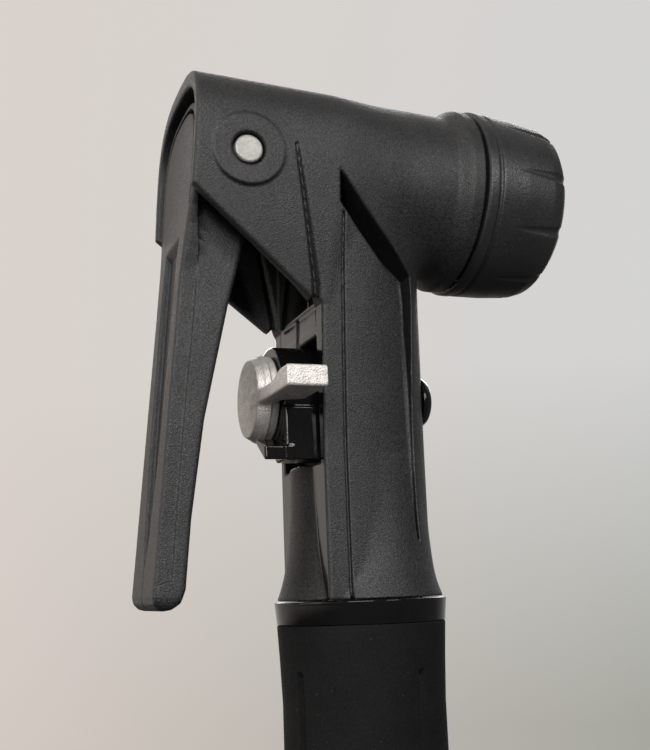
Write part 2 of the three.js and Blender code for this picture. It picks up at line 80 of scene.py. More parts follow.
# ---- driving dimensions, in millimetres --------------------------------------------------
NECK_SEAM_X = -4.3
NECK_NOSE_LENGTH = 14.2
NECK_HALF_WIDTH = 9.5
HOOD_REAR = -24.5
HOOD_HALF_WIDTH = 13.2
HOOD_ARCH_MIDDLE = -0.5
HOOD_ARCH_HEIGHT = 11.5
HOOD_SQUARENESS = 2.8
HOOD_WALL = 1.5
HOOD_ROOF = 2.3
HOOD_SKIRT_W = -7.5  # where the lower edge of the hood's side meets its rear edge
HOOD_TAPER_W = -0.5  # below this level the hood's sides lean in
HOOD_TIP_U = -7.5
HOOD_TIP_W = -20.4
HOOD_TIP_HALF_WIDTH = 10.2
NOZZLE_RADIUS = 12.1
RIDGE_RADIUS = 13.3
RIDGE_END = 16.3
THREAD_END = 26
THREAD_RADIUS = 10.7
THREAD_PITCH = 1.5
THREAD_DEPTH = 0.3
SHAFT_BORE_RADIUS = 3.4
CHAMBER_RADIUS = 5.5
GROMMET_RADIUS = 7.2
PIN_RADIUS = 1.89
PIN_BOSS_RADIUS = 4.85
PIN_BOSS_FACE = 13.25
SLOT_FLOOR_Y = 4.2
SOCKET_RADIUS = 8.75
SOCKET_TOP_Z = 18.5
LEVER_HALF_WIDTH = 7.8
LEVER_TOP_Z = 66.6
PLATE_ARCH_Z = 58
PLATE_ARCH_HEIGHT = 8.6
PLATE_HALF_WIDTH = 10.5  # the lever's arched plate inside the hood
HUB_RADIUS = 4.4
HUB_HALF_LENGTH = 11.3
CAM_RADIUS = 4.85
CAM_LIFT = 2.5
CAM_HALF_LENGTH = 6.5
KNOB_FACE_X = -15
KNOB_RADIUS = 6
BOSS_FACE_X = -12
BOSS_RADIUS = 7.1
BOSS_ROOT_X = -5.1
SPINDLE_HOLE_RADIUS = 2.6
SLEEVE_RADIUS = 10.7
SLEEVE_BOTTOM = -168
SLEEVE_BORE_RADIUS = 9
RING_HEIGHT = 3
FLUTES = 4
FLUTE_PHASE = math.radians(22)
FLUTE_DEPTH = 0.75
FLUTE_HALF_WIDTH = 0.6
FLUTE_FADE = 0.8  # length over which a flute runs out
SCALLOPS = 10
SCALLOP_DEPTH = 0.33
SCALLOP_START = 21.5


# ---- distance fields ---------------------------------------------------------------------
# A field is negative inside a shape. The arrays for x, y and z broadcast against each other.
def grid(x_range, y_range, z_range, step):
    """Sample points as three open arrays."""
    ranges = (x_range, y_range, z_range)
    axes = [np.arange(low, high + step, step, dtype=np.float32) for low, high in ranges]
    return axes[0][:, None, None], axes[1][None, :, None], axes[2][None, None, :]


def join(a, b, soft=0.4):
    """Union with a fillet about as wide as soft."""
    near = np.maximum(soft - np.abs(a - b), 0) / soft
    return np.minimum(a, b) - near * near * soft / 4


def meet(a, b, soft=0.4):
    """Intersection with a rounded edge."""
    return -join(-a, -b, soft)


def carve(a, b, soft=0.4):
    """What is left of a when b is taken away."""
    return -join(-a, b, soft)


def between(value, low, high):
    return np.maximum(low - value, value - high)


def smooth_step(value, low, high):
    t = np.clip((value - low) / (high - low), 0, 1)
    return t * t * (3 - 2 * t)


def outline(u, v, points):
    """Distance to a closed polygon in the plane of u and v."""
    shape = np.broadcast(u, v).shape
    nearest = np.full(shape, np.inf, np.float32)
    sign = np.ones(shape, np.float32)
    for (ax, ay), (bx, by) in zip(points, points[1:] + points[:1]):
        edge_u, edge_v = bx - ax, by - ay
        along = ((u - ax) * edge_u + (v - ay) * edge_v) / (edge_u ** 2 + edge_v ** 2)
        along = np.clip(along, 0, 1)
        gap = (u - ax - edge_u * along) ** 2 + (v - ay - edge_v * along) ** 2
        nearest = np.minimum(nearest, gap)
        if edge_v:
            crosses = ((v >= ay) != (v >= by)) & (u < ax + (v - ay) * edge_u / edge_v)
            sign = np.where(crosses, -sign, sign)
    return sign * np.sqrt(nearest)


def polar(centre, radius, start, end, steps=6):
    """Points of an arc, angles in degrees."""
    angles = np.radians(np.linspace(start, end, steps + 1))
    return [(centre[0] + radius * math.cos(a), centre[1] + radius * math.sin(a)) for a in angles]


def head_axes(x, z):
    """u and w of a point given in the neck's axes."""
    rise = z - HEAD_AXIS_Z
    u = x * math.cos(HEAD_DIP) - rise * math.sin(HEAD_DIP)
    w = x * math.sin(HEAD_DIP) + rise * math.cos(HEAD_DIP)
    return u, w


# ---- meshes from fields ------------------------------------------------------------------
CORNERS = np.array([(i, j, k) for i in (0, 1) for j in (0, 1) for k in (0, 1)])
EDGES = [(a, b) for a in range(8) for b in range(a) if np.abs(CORNERS[a] - CORNERS[b]).sum() == 1]


def trilinear(values, at):
    """Value and gradient inside unit cells whose eight corners have these values."""
    c = values.reshape(-1, 2, 2, 2)
    px, py, pz = (at[:, axis] for axis in range(3))
    along_x = c[:, 0] + (c[:, 1] - c[:, 0]) * px[:, None, None]
    along_y = along_x[:, 0] + (along_x[:, 1] - along_x[:, 0]) * py[:, None]
    value = along_y[:, 0] + (along_y[:, 1] - along_y[:, 0]) * pz
    slope_x = c[:, 1] - c[:, 0]
    slope_x = slope_x[:, 0] + (slope_x[:, 1] - slope_x[:, 0]) * py[:, None]
    slope_x = slope_x[:, 0] + (slope_x[:, 1] - slope_x[:, 0]) * pz
    slope_y = along_x[:, 1] - along_x[:, 0]
    slope_y = slope_y[:, 0] + (slope_y[:, 1] - slope_y[:, 0]) * pz
    slope_z = along_y[:, 1] - along_y[:, 0]
    return value, np.stack([slope_x, slope_y, slope_z], axis=1)


def corner_values(field, cells):
    return np.stack([field[tuple((cells + corner).T)] for corner in CORNERS], axis=1)


def cell_points(field, cells):
    """One point per cell, on the surface that passes through it."""
    values = corner_values(field, cells)
    total = np.zeros((len(cells), 3))
    hits = np.zeros(len(cells))
    for a, b in EDGES:
        crosses = (values[:, a] < 0) != (values[:, b] < 0)
        share = np.where(crosses, values[:, a] / np.where(crosses, values[:, a] - values[:, b], 1), 0)
        point = CORNERS[a] + share[:, None] * (CORNERS[b] - CORNERS[a])
        total += point * crosses[:, None]
        hits += crosses
    at = total / hits[:, None]
    for _ in range(3):
        value, slope = trilinear(values, at)
        at = at - (value / np.maximum((slope ** 2).sum(axis=1), 1e-6))[:, None] * slope
        at = np.clip(at, 0.02, 0.98)
    return at


def surface_quads(inside, index):
    """Quads round every grid edge that the surface crosses."""
    quads = []
    for axis in range(3):
        one, two = (axis + 1) % 3, (axis + 2) % 3
        inner = [slice(1, -1)] * 3
        inner[axis] = slice(0, -1)
        outer = list(inner)
        outer[axis] = slice(1, None)
        lower, upper = inside[tuple(inner)], inside[tuple(outer)]
        edges = np.argwhere(lower != upper)
        leaves = lower[tuple(edges.T)]
        edges[:, one] += 1
        edges[:, two] += 1
        ring = []
        for back_one, back_two in ((1, 1), (0, 1), (0, 0), (1, 0)):
            cell = edges.copy()
            cell[:, one] -= back_one
            cell[:, two] -= back_two
            ring.append(index[tuple(cell.T)])
        ring = np.stack(ring, axis=1)
        quads.append(np.where(leaves[:, None], ring, ring[:, ::-1]))
    return np.concatenate(quads)


def field_normals(field, origin, step, points):
    """Outward directions of a sampled field at points."""
    place = (points - origin) / step
    cells = np.clip(np.floor(place).astype(int), 0, np.array(field.shape) - 2)
    _, slope = trilinear(corner_values(field, cells), place - cells)
    return slope / np.maximum(np.linalg.norm(slope, axis=1, keepdims=True), 1e-9)


def mesh_object(name, points, faces):
    """A new object from points in millimetres in the neck's axes."""
    mesh = bpy.data.meshes.new(name)
    placed = (np.asarray(points, float) + (0, 0, BASE_Z)) * MM
    mesh.from_pydata(placed.tolist(), [], [tuple(face) for face in faces])
    mesh.update()
    piece = bpy.data.objects.new(name, mesh)
    bpy.context.scene.collection.objects.link(piece)
    return piece


def apply_modifiers(piece):
    graph = bpy.context.evaluated_depsgraph_get()
    mesh = bpy.data.meshes.new_from_object(piece.evaluated_get(graph))
    piece.modifiers.clear()
    piece.data = mesh


def field_object(name, field, axes, mirrored=False, keep=0.3):
    """Meshes a field, thins the mesh out and gives it the field's own normals."""
    x, y, z = axes
    step = float(x[1, 0, 0] - x[0, 0, 0])
    first_y = float(y[0, 0, 0])
    if mirrored:
        field = np.concatenate([field[:, :0:-1], field], axis=1)
        first_y -= step * (y.shape[1] - 1)
    origin = np.array([float(x[0, 0, 0]), first_y, float(z[0, 0, 0])])
    inside = field < 0
    count = sum(inside[i:inside.shape[0] - 1 + i, j:inside.shape[1] - 1 + j, k:inside.shape[2] - 1 + k]
                .astype(np.uint8) for i, j, k in CORNERS)
    active = (count > 0) & (count < 8)
    cells = np.argwhere(active)
    index = np.full(active.shape, -1, np.int32)
    index[active] = np.arange(len(cells))
    points = origin + (cells + cell_points(field, cells)) * step
    piece = mesh_object(name, points, surface_quads(inside, index))
    thin = piece.modifiers.new("thin", "DECIMATE")
    thin.ratio = keep
    apply_modifiers(piece)
    shade_smooth(piece)
    corners = np.empty(len(piece.data.vertices) * 3, np.float32)
    piece.data.vertices.foreach_get("co", corners)
    local = corners.reshape(-1, 3) / MM - (0, 0, BASE_Z)
    normals = field_normals(field, origin, step, local)
    piece.data.normals_split_custom_set_from_vertices(normals.tolist())
    return piece


def shade_smooth(piece, sharp=None):
    piece.data.polygons.foreach_set("use_smooth", [True] * len(piece.data.polygons))
    if sharp is not None:
        piece.data.set_sharp_from_angle(angle=math.radians(sharp))


# ---- head housing ------------------------------------------------------------------------
def hood_half_width(w):
    taper = (HOOD_TAPER_W - w) / (HOOD_TAPER_W - HOOD_TIP_W + 3)
    return HOOD_HALF_WIDTH - (HOOD_HALF_WIDTH - HOOD_TIP_HALF_WIDTH) * np.clip(taper, 0, 1) ** 1.4


def hood_section(y, w, inset=0.0, roof_inset=0.0):
    """An arch over flat sides that lean in towards the tip, below HOOD_TAPER_W."""
    half = HOOD_HALF_WIDTH - inset
    height = HOOD_ARCH_HEIGHT - roof_inset
    power = HOOD_SQUARENESS
    across = np.abs(y) / half
    up = np.maximum(w - HOOD_ARCH_MIDDLE, 0) / height
    total = np.maximum(across ** power + up ** power, 1e-6)
    slope = total ** (1 / power - 1) * np.sqrt((across ** (power - 1) / half) ** 2
                                               + (up ** (power - 1) / height) ** 2)
    arch = (total ** (1 / power) - 1) / np.maximum(slope, 1e-3)
    sides = np.abs(y) - hood_half_width(w) + inset
    return np.where(w > HOOD_ARCH_MIDDLE, arch, sides)


def neck_half_width(z):
    rise = np.clip((z - 18) / 40, 0, 1)
    return NECK_HALF_WIDTH + 3.1 * rise ** 1.25


def neck_column(x, y, z):
    """Flat side panels with a rounded nose, leaning out towards the head."""
    half = neck_half_width(z)
    ahead = np.maximum(x - NECK_SEAM_X, 0)
    nose = np.sqrt((ahead / NECK_NOSE_LENGTH) ** 2 + (y / half) ** 2)
    slope = np.sqrt((ahead / NECK_NOSE_LENGTH ** 2) ** 2 + (y / half ** 2) ** 2)
    wall = (nose - 1) * nose / np.maximum(slope, 1e-3)
    column = meet(wall, -7.6 - x, 0.5)
    socket = np.sqrt(x * x + y * y) - SOCKET_RADIUS - 2.4 * np.exp(-z / 5.5)
    soft = 0.3 + 0.9 * smooth_step(x, -3, 3) * smooth_step(z, 13, 5)
    column = join(column, meet(socket, z - SOCKET_TOP_Z, 0.5), soft)
    return meet(meet(column, 0.1 - z, 0.3), z - 58, 3)


def nozzle(y, u, w):
    """Cylinder that swells to a ridge, and the thread in front of it."""
    across = np.sqrt(y * y + w * w)
    swell = NOZZLE_RADIUS + (RIDGE_RADIUS - NOZZLE_RADIUS) * smooth_step(u, 12.4, 14.8)
    body = meet((across - swell) * 0.85, between(u, 7, RIDGE_END), 0.35)
    turn = np.arctan2(w, y) / (2 * math.pi)
    thread = across - THREAD_RADIUS + THREAD_DEPTH * np.cos(2 * math.pi * (u / THREAD_PITCH - turn))
    return join(body, np.maximum(thread, between(u, 10, THREAD_END)), 0.2)


def hood(y, u, w):
    """Hood that turns into the nozzle's cylinder towards the front."""
    side = outline(u, w, [
        (HOOD_REAR, 14), (9, 14), (9, HOOD_TIP_W), (HOOD_TIP_U, HOOD_TIP_W), (HOOD_REAR, HOOD_SKIRT_W),
    ])
    cylinder = np.sqrt(y * y + w * w) - NOZZLE_RADIUS
    turning = smooth_step(u, -6, 7)
    section = hood_section(y, w) * (1 - turning) + cylinder * turning
    return meet(section, side, 0.5)


def hood_cavity(x, y, u, w):
    corner = 1.7 * np.maximum(y - 7.8, 0) * smooth_step(w, -2, -8)
    front = np.where(w > 3.9, u + 5.5, x + 7.7 + corner)
    space = meet(hood_section(y, w, HOOD_WALL, HOOD_ROOF), front, 0.4)
    return meet(space, HOOD_TIP_W - 2.5 - w, 0.3)


def side_slots(x, y, z):
    """Slanted slot under the nozzle and the upright groove that runs down from it."""
    slanted = outline(x, z, [
        (-5.1, 55.4), (-2.1, 51.7), (1, 48.4), (6.4, 43.2), (6.6, 39.7), (4.4, 39.7), (2.7, 42.1),
        (-0.9, 46.2), (-3.6, 49.4), (-5.1, 51.2),
    ])
    upright = outline(x, z, [
        (3.4, 43), (6.4, 43), (6.6, 39.7), (6, 26), (5.9, 7), (5.6, 7.6), (4.7, 26), (4.1, 39.6),
    ])
    bottom = SLOT_FLOOR_Y + 1.8 * smooth_step(z, 40, 24)
    return meet(np.minimum(slanted, upright), bottom - y, 0.4)


def hood_crease(body, x, y, z):
    """V-shaped valley between the hood's side plate and the neck's side panel."""
    rise = np.clip((z - 40) / 18, 0, 1)
    across = np.abs(x + 8.4 + 2.7 * rise) / (0.62 - 0.32 * rise)
    valley = -body - (0.95 - 0.5 * rise) * (1 - across)
    return np.maximum(valley, np.maximum(5 - y, between(z, 37, 58.5)))


def panel_line(body, x, y, z):
    """Fine parting line that follows the side panel."""
    line = np.maximum(np.abs(x + 4.7) - 0.16, -body - 0.4)
    return np.maximum(line, np.maximum(3 - y, z - 50))


def rear_cuts(x, y, z):
    """Pocket of the selector, and the line between the two panels above it."""
    pocket = np.maximum(np.maximum(x + 4.8, y - 7.6), between(z, 17.6, 34))
    line = np.maximum(np.maximum(x + 6.9, y - 0.35), between(z, 33, 52))
    return np.minimum(pocket, line)


def pin_seat(x, y, z):
    """Raised disc round the pin, and the hole."""
    across = np.sqrt((x - PIN_X) ** 2 + (z - PIN_Z) ** 2)
    disc = meet(across - PIN_BOSS_RADIUS, between(y, 10.5, PIN_BOSS_FACE), 0.35)
    hole = across - PIN_RADIUS - 0.25 - 0.35 * np.clip(y - PIN_BOSS_FACE + 0.35, 0, 1)
    return disc, hole


def bores(x, y, z, u, w):
    across = np.sqrt(y * y + w * w)
    shaft = np.maximum(across - SHAFT_BORE_RADIUS, between(u, -9, 0))
    chamber = np.maximum(across - CHAMBER_RADIUS, between(u, -3, 17))
    seat = np.maximum(across - GROMMET_RADIUS - 0.3, between(u, RIDGE_END + 0.4, THREAD_END + 1))
    upright = np.sqrt(x * x + y * y)
    socket = np.maximum(upright - 8.3, between(z, -1, 8.9))
    airway = np.maximum(upright - 4.2, between(z, 8, 18.5))
    turning = np.sqrt(y * y + (z - SELECTOR_Z) ** 2)
    spindle = np.maximum(turning - SPINDLE_HOLE_RADIUS, between(x, -9, 12))
    cap_seat = np.maximum(turning - 4, 9 - x)
    holes = [shaft, chamber, seat, socket, airway, spindle, cap_seat]
    return np.minimum.reduce([np.broadcast_to(hole, np.broadcast(x, y, z).shape) for hole in holes])


def housing_field(x, y, z):
    u, w = head_axes(x, z)
    head = np.minimum(hood(y, u, w), nozzle(y, u, w))
    neck = carve(neck_column(x, y, z), rear_cuts(x, y, z), 0.4)
    body = join(head, neck, 0.4 + 1.8 * smooth_step(x, -2, 4))
    disc, hole = pin_seat(x, y, z)
    body = join(body, disc, 0.3)
    body = carve(body, hood_cavity(x, y, u, w), 0.4)
    body = carve(body, hood_crease(body, x, y, z), 0.1)
    body = carve(body, side_slots(x, y, z), 0.45)
    body = carve(body, panel_line(body, x, y, z), 0.12)
    return carve(body, np.minimum(hole, bores(x, y, z, u, w)), 0.25)


def head_housing():
    step = 0.22
    axes = grid((-27, 28), (0, 15), (-0.5, 73), step)
    return field_object("head_moulding", housing_field(*axes), axes, mirrored=True)


def smooth_back(centre, normal):
    """Whether a face of the head belongs to the smooth flat back of the neck."""
    return centre.z < 56 and -7.75 < centre.x < -7.45 and normal.x < -0.97


# ---- lock lever --------------------------------------------------------------------------
LEVER_BAND = [  # side view of the smooth band along the outer face
    (-25.5, 53.5), (-24.5, 52), (-23.6, 49), (-23.15, 46), (-23.1, 44.7), (-24.1, 34.1), (-25.3, 22.6),
    (-26.3, 11.6), (-27, 3.2), (-29.5, 2.4), (-31, 4), (-27, 53.5),
]
LEVER_FLARE = [  # half width and height of the blade's side as it spreads up to the hood
    (LEVER_HALF_WIDTH, 39), (LEVER_HALF_WIDTH + 0.1, 42), (LEVER_HALF_WIDTH + 0.45, 45),
    (LEVER_HALF_WIDTH + 1.1, 48), (LEVER_HALF_WIDTH + 1.9, 50.2),
    (PLATE_HALF_WIDTH, 51.5),
]


def plate_arch(half_width, height):
    """Points of the lever plate's arched top, the same curve as the hood's."""
    power = 2 / HOOD_SQUARENESS
    return [(half_width * math.cos(a) ** power, PLATE_ARCH_Z + height * math.sin(a) ** power)
            for a in np.linspace(0, math.pi / 2, 14)[:-1]]


def lever_hub(x, y, z):
    """Hub, and the cam whose radius grows from the side that faces the nozzle to its top."""
    u, w = head_axes(x, z)
    pin_u, pin_w = head_axes(PIN_X, PIN_Z)
    pin = np.sqrt((x - PIN_X) ** 2 + (z - PIN_Z) ** 2)
    hub = meet(pin - HUB_RADIUS, y - HUB_HALF_LENGTH, 0.4)
    turn = np.mod(np.arctan2(w - pin_w, u - pin_u) / (2 * math.pi), 1)
    rise = np.where(turn < 0.25, turn / 0.25, np.clip(1 - (turn - 0.25) / 0.15, 0, 1))
    cam = meet(pin - CAM_RADIUS - CAM_LIFT * rise, y - CAM_HALF_LENGTH, 0.3)
    return hub, cam, pin - PIN_RADIUS - 0.1


def lever_field(x, y, z):
    side = outline(x, z, [
        (-23.3, LEVER_TOP_Z), (-24.4, 52), (-25.5, 42), (-28.9, 5.5), (-29.3, 1.3), (-29.15, 0.4),
        (-28.6, -0.3), (-27.8, -0.6), (-26.8, -0.4), (-25.8, 0.4), (-25.2, 2), (-24.4, 10.5),
        (-22.6, 22.8), (-19.3, 37.5), (-17, 46), (-14.5, 53), (-21.4, 60.3), (-21.4, 63.7), (-23.2, 66.3),
    ])
    half = LEVER_HALF_WIDTH
    front = outline(y, z, polar((half - 2, 1.2), 2, -90, 0) + LEVER_FLARE
                    + plate_arch(PLATE_HALF_WIDTH, PLATE_ARCH_HEIGHT)
                    + [(0, LEVER_TOP_Z), (-3, LEVER_TOP_Z), (-3, -0.8)])
    inner = outline(y, z, [(half + 1.2, 50), (9.1, 52.5)] + plate_arch(9.1, 7.4)
                    + [(0, 65.4), (-3, 65.4), (-3, 50)])
    outer = ((x + 28.9) * 36.5 - (z - 5.5) * 3.4) / math.hypot(36.5, 3.4)
    flare_edge = np.interp(z, [39, 44.7, 49, 52, 56], [-23.63, -23.1, -23.4, -23.6, -21.4])
    flare_edge = flare_edge.astype(np.float32)
    web = np.minimum(y - half, x - flare_edge)
    blade = meet(side, np.maximum(front, web), 0.8)
    band = outline(x, z, LEVER_BAND)
    flank = np.interp(z, [level for _, level in LEVER_FLARE], [reach for reach, _ in LEVER_FLARE])
    flank = flank.astype(np.float32)
    recess = flank + 0.3 - 0.55 * smooth_step(z, 48, 42) - y
    blade = carve(blade, meet(band, recess, 0.1), 0.12)
    channel_half = np.interp(z, [4.5, 9, 20, 40, 47], [0, 1.5, 3.1, 4, 4.1]).astype(np.float32)
    channel = np.maximum(y - channel_half, outer - 0.9)
    channel = np.maximum(channel, z - 49 + (outer + 1) * 1.5)
    blade = carve(blade, channel, 0.25)
    plate_line = np.maximum(np.abs(inner) - 0.28, x + 23.6 - 0.0753 * (z - 52))
    plate_line = np.maximum(plate_line, 50.5 - z)
    blade = carve(blade, plate_line, 0.15)
    hub, cam, hole = lever_hub(x, y, z)
    whole = join(join(blade, hub, 1.2), cam, 0.2)
    return carve(whole, hole, 0.2)


def lock_lever():
    step = 0.2
    axes = grid((-31, -8), (0, 12.5), (-1.6, 67), step)
    return field_object("lever_moulding", lever_field(*axes), axes, mirrored=True)


# ---- selector ----------------------------------------------------------------------------
def selector_body_field(x, y, z):
    turning = np.sqrt(y * y + (z - SELECTOR_Z) ** 2)
    boss = meet(turning - BOSS_RADIUS, between(x, BOSS_FACE_X, BOSS_ROOT_X), 0.5)
    block = outline(y, z, [
        (-7.2, 17.9), (-2.5, 17.9), (0.5, 20.5), (0.5, SELECTOR_Z - 2), (-7.2, SELECTOR_Z - 2),
    ])
    block = meet(block, between(x, BOSS_FACE_X, BOSS_ROOT_X), 0.4)
    lug = outline(y, z, [(-7.2, 17.9), (-6.6, 17.9), (-3.1, 20.2), (-3.1, 21), (-7.2, 19.6)])
    lug = meet(lug, between(x, -14.8, -11), 0.3)
    return carve(join(join(boss, block, 0.3), lug, 0.3), turning - SPINDLE_HOLE_RADIUS, 0.2)


def selector_body():
    axes = grid((-16.5, -4.5), (-8.2, 8.2), (17, 35), 0.16)
    return field_object("selector_boss", selector_body_field(*axes), axes)


def knob_field(x, y, z):
    turning = np.sqrt(y * y + (z - SELECTOR_Z) ** 2)
    rim = KNOB_RADIUS - 0.8 * np.clip((-13.4 - x) / 1.6, 0, 1)
    disc = meet(turning - rim, between(x, KNOB_FACE_X, -13.25), 0.15)
    tier = meet(turning - KNOB_RADIUS + 0.2, between(x, -14, BOSS_FACE_X - 0.1), 0.25)
    tab = outline(x, y, [
        (KNOB_FACE_X, -2), (KNOB_FACE_X, -18), (-9.8, -18), (-9.8, -8.9), (-12.4, -7.7), (-12.8, -2),
    ])
    top = SELECTOR_Z + 1.3 - 0.9 * smooth_step(y, -16, -10)
    tab = meet(tab, np.maximum(SELECTOR_Z - 1.4 - z, z - top), 0.4)
    hole = np.maximum(turning - SPINDLE_HOLE_RADIUS, -13.9 - x)
    return carve(join(join(disc, tier, 0.2), tab, 0.5), hole, 0.2)


def selector_knob():
    axes = grid((-15.6, -9), (-18.7, 6.6), (20.3, 33.3), 0.14)
    return field_object("selector_tab", knob_field(*axes), axes, keep=0.5)


# ---- turned pieces -----------------------------------------------------------------------
def softened(profile, radius):
    """The profile with its corners rounded; a repeated first point at the end closes it."""
    points = [Vector(point) for point in profile]
    closed = (points[0] - points[-1]).length < 1e-6
    if closed:
        points = points[:-1]
    result = []
    for i, point in enumerate(points):
        if not closed and i in (0, len(points) - 1):
            result.append(tuple(point))
            continue
        before, after = points[i - 1] - point, points[(i + 1) % len(points)] - point
        reach = min(radius, before.length * 0.45, after.length * 0.45)
        start, end = point + before.normalized() * reach, point + after.normalized() * reach
        for t in (0, 0.25, 0.5, 0.75, 1):
            curve = start * (1 - t) ** 2 + point * (2 * t * (1 - t)) + end * t ** 2
            result.append(tuple(curve))
    if closed:
        result.append(result[0])
    return result


def refined(profile, spacing):
    """The profile with extra points on its long stretches."""
    result = [profile[0]]
    for (r0, a0), (r1, a1) in zip(profile, profile[1:]):
        steps = max(1, math.ceil(math.hypot(r1 - r0, a1 - a0) / spacing))
        result += [(r0 + (r1 - r0) * i / steps, a0 + (a1 - a0) * i / steps)
                   for i in range(1, steps + 1)]
    return result


def along_z(radius, angle, along):
    return radius * math.cos(angle), radius * math.sin(angle), along


def along_head(radius, angle, along):
    """A point round the head axis; angle 0 is up, and it grows towards the -y side."""
    w, y = radius * math.cos(angle), -radius * math.sin(angle)
    x = along * math.cos(HEAD_DIP) + w * math.sin(HEAD_DIP)
    return x, y, HEAD_AXIS_Z - along * math.sin(HEAD_DIP) + w * math.cos(HEAD_DIP)


def along_selector(radius, angle, along):
    return along, radius * math.sin(angle), SELECTOR_Z + radius * math.cos(angle)


def across_pin(radius, angle, along):
    return PIN_X + radius * math.cos(angle), along, PIN_Z + radius * math.sin(angle)


def turned(name, profile, place=along_z, segments=96, round_off=0.2, spacing=None, shape=None):
    """A turned piece. shape(radius, angle, along) may move the radius."""
    ring = softened(profile, round_off)
    if spacing:
        ring = refined(ring, spacing)
    points, faces = [], []
    for radius, along in ring:
        for i in range(segments):
            angle = 2 * math.pi * i / segments
            moved = shape(radius, angle, along) if shape else radius
            points.append(place(moved, angle, along))
    for row in range(len(ring) - 1):
        for i in range(segments):
            j = (i + 1) % segments
            a, b = row * segments, (row + 1) * segments
            faces.append((a + i, a + j, b + j, b + i))
    piece = mesh_object(name, points, faces)
    work = bmesh.new()
    work.from_mesh(piece.data)
    bmesh.ops.remove_doubles(work, verts=work.verts, dist=2e-7)
    bmesh.ops.dissolve_degenerate(work, edges=work.edges, dist=1e-7)
    bmesh.ops.recalc_face_normals(work, faces=work.faces)
    work.to_mesh(piece.data)
    work.free()
    shade_smooth(piece, sharp=38)
    return piece


def tube(inner, outer, low, high):
    return [(inner, low), (outer, low), (outer, high), (inner, high), (inner, low)]


def nozzle_collar():
    start = RIDGE_END + 0.4

    def scalloped(radius, angle, along):
        if radius < 9 or along < SCALLOP_START:
            return radius
        grow = min((along - SCALLOP_START) / 7, 1) ** 0.7
        pitch = 2 * math.pi / SCALLOPS
        offset = (angle / pitch - 0.35 + 0.5) % 1 - 0.5
        width = 0.09 * grow + 0.01
        dent = max(0, 1 - (offset / width) ** 2)
        return radius - SCALLOP_DEPTH * grow * dent

    profile = [
        (11.3, start), (13.3, start), (13.6, start + 0.3), (13.6, 18.2), (13.2, 18.45), (13.2, 18.75),
        (13.5, 19), (13.3, 23), (12.8, 27.4), (12.2, 29), (11.2, 29.8), (10.2, 30), (4.5, 30),
        (4.5, 26.3), (11.3, 26.3), (11.3, start),
    ]
    return turned("collar_moulding", profile, along_head, 480, 0.3, 0.35, scalloped)


def handle_sleeve():
    top = -RING_HEIGHT - 0.02
    flute_top, flute_bottom = top - 5.6, SLEEVE_BOTTOM + 7

    def fluted(radius, angle, along):
        if radius < 10 or along > flute_top or along < flute_bottom:
            return radius
        pitch = 2 * math.pi / FLUTES
        offset = ((angle - FLUTE_PHASE) / pitch + 0.5) % 1 - 0.5
        across = abs(offset * pitch * radius)
        ends = min(1, (flute_top - along) / FLUTE_FADE, (along - flute_bottom) / FLUTE_FADE)
        return radius - FLUTE_DEPTH * ends * max(0, 1 - (across / FLUTE_HALF_WIDTH) ** 2)

    profile = [
        (SLEEVE_BORE_RADIUS, SLEEVE_BOTTOM), (SLEEVE_RADIUS, SLEEVE_BOTTOM),
        (SLEEVE_RADIUS, flute_bottom), (SLEEVE_RADIUS, flute_bottom + FLUTE_FADE / 2),
        (SLEEVE_RADIUS, flute_bottom + FLUTE_FADE), (SLEEVE_RADIUS, top - 10),
        (10.86, flute_top - FLUTE_FADE), (10.875, flute_top - FLUTE_FADE / 2), (10.89, flute_top),
        (10.95, top - 4.3), (11.2, top), (SLEEVE_BORE_RADIUS, top),
        (SLEEVE_BORE_RADIUS, SLEEVE_BOTTOM),
    ]
    return turned("sleeve_grip", profile, along_z, 640, 0.25, 12, fluted)


def guide_ring():
    profile = [
        (8.3, -RING_HEIGHT), (11.2, -RING_HEIGHT), (11.45, -0.5), (11.5, -0.12), (11.3, 0), (8.3, 0),
        (8.3, -RING_HEIGHT),
    ]
    return turned("top_ring", profile, along_z, 192, 0.15)


def end_cap():
    bottom, top = -BASE_Z, SLEEVE_BOTTOM - 0.2
    profile = [
        (0, bottom), (11, bottom), (11.8, bottom + 0.9), (11.8, bottom + 3.4), (11.5, bottom + 3.7),
        (11.5, bottom + 4.3), (11.8, bottom + 4.6), (11.8, top - 1), (11.2, top), (8.7, top),
        (8.7, top + 5), (3.1, top + 5), (3.1, bottom + 4), (0, bottom + 4),
    ]
    return turned("grip_end_cap", profile, along_z, 128, 0.3)


